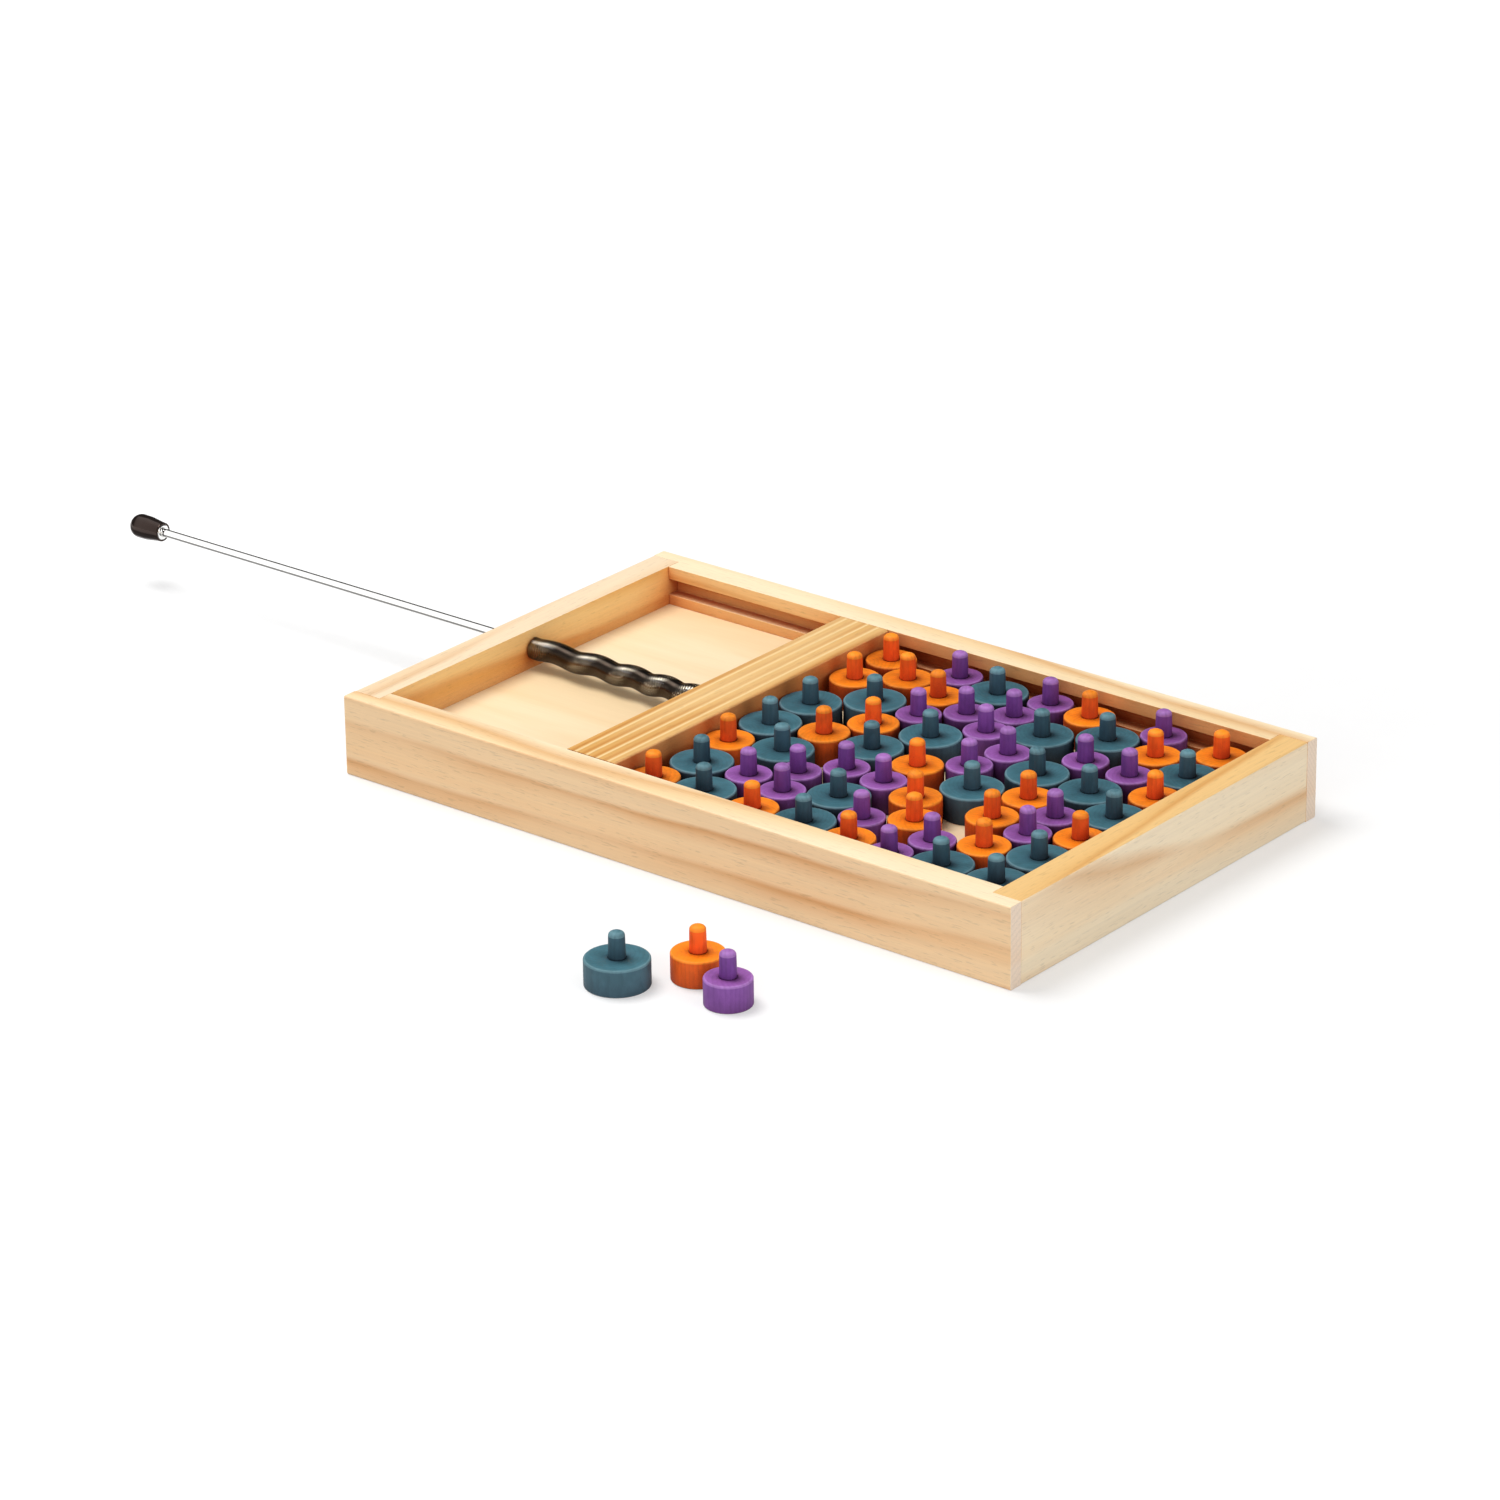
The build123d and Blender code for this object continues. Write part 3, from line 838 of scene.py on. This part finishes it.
def make_turned_pieces():
    """Every disc and peg, finer than the CAD solids and standing on the same spots."""
    stains = {
        # Each stain: the side tone, darker as painted shade; the top tone, lighter as painted light; the
        # edge tone, partly wear and partly painted highlight.
        "teal": (srgb(52, 86, 100), srgb(62, 110, 123), srgb(108, 146, 156)),
        "orange": (srgb(248, 94, 28), srgb(255, 138, 8), srgb(255, 152, 40)),
        "purple": (srgb(120, 66, 150), srgb(150, 88, 168), srgb(176, 126, 196)),
    }
    for colour in COLOURS:
        material = dyed_wood(colour + "_stain", *stains[colour])
        peg_low, peg_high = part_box("loose_" + colour + "_peg")
        peg_radius = max(peg_high.x - peg_low.x, peg_high.y - peg_low.y) / 2
        for prefix, plural, body in (("", "s", colour + "_set"), ("loose_", "", "loose_" + colour)):
            draw = random.Random(prefix + colour)
            disc_node = prefix + colour + "_disc" + plural
            peg_node = prefix + colour + "_peg" + plural
            discs = turned_set(
                prefix + colour + "_turned_disc" + plural, disc_node, body, material, draw,
                lambda radius, height: disc_profile(radius, height, peg_radius), DISC_SEGMENTS,
            )
            pegs = turned_set(
                prefix + colour + "_dowel_peg" + plural, peg_node, body, material, draw,
                peg_profile, PEG_SEGMENTS,
            )


def make_woodwork():
    """The walls, floor and bar keep their CAD shapes and get their timber."""
    # Each palette is a pale, a tan and a dark tone. The side palettes peach, inner and golden are deeper
    # and warmer than the tops: partly the boards' colour, partly painted shade on the front, on the
    # faces inside the tray and on the bar.
    rim = (srgb(253, 232, 194), srgb(245, 212, 162), srgb(230, 184, 130))
    peach = (srgb(252, 217, 172), srgb(241, 194, 143), srgb(225, 168, 114))
    blond = (srgb(253, 234, 202), srgb(247, 216, 176), srgb(232, 190, 144))
    inner = (srgb(242, 200, 142), srgb(232, 180, 118), srgb(214, 152, 88))
    smooth = (srgb(245, 220, 186), srgb(240, 208, 168), srgb(230, 192, 148))
    golden = (srgb(247, 213, 150), srgb(236, 184, 108), srgb(220, 158, 86))
    honey = (srgb(241, 198, 132), srgb(235, 185, 114), srgb(222, 164, 92))
    striped = (srgb(242, 208, 150), srgb(222, 167, 92), srgb(202, 136, 64))
    ends = srgb(248, 226, 204)
    front = pine("pine_front", "X", rim, peach, 13 * MM, 18, 14 * MM, slope=-0.03, seed=3.1, ends=ends)
    back = pine("pine_back", "X", rim, inner, 12 * MM, 25, 14 * MM, slope=0.02, seed=7.7, ends=ends)
    left = pine("pine_left_end", "Y", smooth, golden, 12 * MM, 40, 10 * MM, slope=0.02, seed=1.3)
    right = pine("pine_right_end", "Y", honey, blond, 15 * MM, 62, 12 * MM, slope=0.05, seed=5.2)
    bar = pine(
        "pine_bar", "Y", striped, inner, 4.9 * MM, 84, 2.6 * MM, slope=0.006, seed=2.4, stops=BAR_STOPS,
    )
    dress("front_wall", front)
    dress("back_wall", back)
    dress("left_end_wall", left)
    dress("right_end_wall", right)
    dress("pusher_bar", bar)
    dress("floor_panel", plywood("birch_ply", srgb(252, 230, 192), srgb(243, 212, 164)))


def make_metal_and_plastic():
    make_rod(metal("plated_steel", (0.95, 0.94, 0.92, 1), 0.09, 0.01, (30, 900, 900), 0.01))
    make_cap(moulded("black_plastic", (0.012, 0.008, 0.007, 1), (1.0, 0.70, 0.60, 1)))
    make_washer(metal("bright_steel", (0.95, 0.95, 0.94, 1), 0.12, 0.03, (900, 900, 900), 0.02))
    make_spring(spring_steel("oiled_spring_steel", (0.048, 0.034, 0.024, 1), (0.48, 0.42, 0.34, 1)))


def make_floor():
    """A plain pale floor that shows white to the camera and keeps the soft shadows; to mirrors it shows
    a darker strip before the rod, a painted reflection of shade.
    """
    corners = [(x * FLOOR_REACH, y * FLOOR_REACH, 0) for x, y in ((-1, -1), (1, -1), (1, 1), (-1, 1))]
    mesh = bpy.data.meshes.new("studio_floor")
    mesh.from_pydata(corners, [], [(0, 1, 2, 3)])
    floor = bpy.data.objects.new("studio_floor", mesh)
    bpy.context.scene.collection.objects.link(floor)
    shader = Shader("studio_floor")
    ground = shader.coordinates.outputs["Object"]
    grain = shader.noise(shader.scaled(ground, (60, 60, 60)), detail=2.0)
    # Painted reflection: only in mirrors is the floor darker in a strip before the rod, standing in for
    # shade under it.
    ahead = shader.math("SUBTRACT", ROD_Y, shader.parts(ground)[1])
    past_rod = shader.between(ahead, *STRIP_NEAR_EDGE)
    near = shader.math("MULTIPLY", past_rod, shader.between(ahead, *STRIP_FAR_EDGE, 1, 0))
    rays = shader.new("ShaderNodeLightPath").outputs
    mirrored_near = shader.math("MULTIPLY", rays["Is Glossy Ray"], near)
    level = shader.between(grain, 0.3, 0.7, 0.995, 1.005)
    level = shader.math("MULTIPLY", level, shader.pick(mirrored_near, 1.0, STRIP_SHADE))
    shader.set(Base_Color=shader.lit((FLOOR_SHADE, FLOOR_SHADE, FLOOR_SHADE, 1), level), Roughness=0.9)
    shader.surface.inputs["Specular IOR Level"].default_value = 0.0
    mirrored_far = shader.math("SUBTRACT", rays["Is Glossy Ray"], mirrored_near)
    seen = shader.math("MAXIMUM", rays["Is Camera Ray"], mirrored_far)
    away = shader.new("ShaderNodeVectorMath", operation="DISTANCE")
    shader.feed(away.inputs[0], ground)
    away.inputs[1].default_value = (TRAY_LOW + TRAY_HIGH) / 2
    glow = shader.between(away.outputs["Value"], *GLOW_RISES, FLOOR_GLOW, 1.0)
    shader.surface.inputs["Emission Color"].default_value = (1, 1, 1, 1)
    shader.set(Emission_Strength=shader.math("MULTIPLY", seen, glow))
    mesh.materials.append(shader.material)


def make_light():
    """A soft box high on the left, two soft fills, and a pale room that is darker low down."""
    world = bpy.data.worlds.new("studio")
    bpy.context.scene.world = world
    world.use_nodes = True
    wiring = Wiring(world.node_tree)
    direction = wiring.coordinates.outputs["Generated"]
    sky = wiring.between(wiring.parts(direction)[2], 0.02, 0.45, LOW_SKY_SHARE * ROOM_LEVEL, ROOM_LEVEL)
    ahead = wiring.between(wiring.dot(direction, CARD_TOWARDS), *CARD_LOWER_EDGE)
    aside = wiring.math("SUBTRACT", wiring.parts(direction)[0], CARD_MIDDLE_X)
    aside = wiring.math("ABSOLUTE", aside)
    card = wiring.math("MULTIPLY", ahead, wiring.between(aside, *CARD_SIDE_EDGE, 1.0, 0.0))
    mirrored = wiring.math("MULTIPLY_ADD", card, CARD_LEVEL, MIRRORED_ROOM)
    rays = wiring.new("ShaderNodeLightPath").outputs
    level = wiring.pick(rays["Is Glossy Ray"], sky, mirrored)
    level = wiring.pick(rays["Is Camera Ray"], level, 1.0)
    background = wiring.tree.nodes["Background"]
    background.inputs["Color"].default_value = (1, 1, 1, 1)
    wiring.feed(background.inputs["Strength"], level)

    middle = (TRAY_LOW + TRAY_HIGH) / 2
    for name, place, size, watts in LAMPS:
        add_area(name, middle + Vector(place), middle, size, watts)


def add_area(name, at, target, size, watts):
    lamp = bpy.data.lights.new(name, "AREA")
    lamp.shape = "DISK"
    lamp.size = size
    lamp.energy = watts
    thing = bpy.data.objects.new(name, lamp)
    thing.location = at
    thing.rotation_mode = "QUATERNION"
    thing.rotation_quaternion = (target - at).to_track_quat("-Z", "Y")
    bpy.context.scene.collection.objects.link(thing)


def make_camera():
    data = bpy.data.cameras.new("camera")
    data.lens = CAMERA_LENS
    data.sensor_width = CAMERA_SENSOR
    data.clip_start = 0.05
    data.clip_end = 50.0
    camera = bpy.data.objects.new("camera", data)
    camera.location = CAMERA_AT
    camera.rotation_mode = "QUATERNION"
    level = (CAMERA_TARGET - CAMERA_AT).to_track_quat("-Z", "Y")
    camera.rotation_quaternion = level @ Quaternion((0, 0, 1), math.radians(CAMERA_ROLL))
    bpy.context.scene.collection.objects.link(camera)
    bpy.context.scene.camera = camera


make_camera()
make_woodwork()
make_metal_and_plastic()
make_turned_pieces()
make_floor()
make_light()
bpy.context.scene.view_settings.view_transform = "Standard"
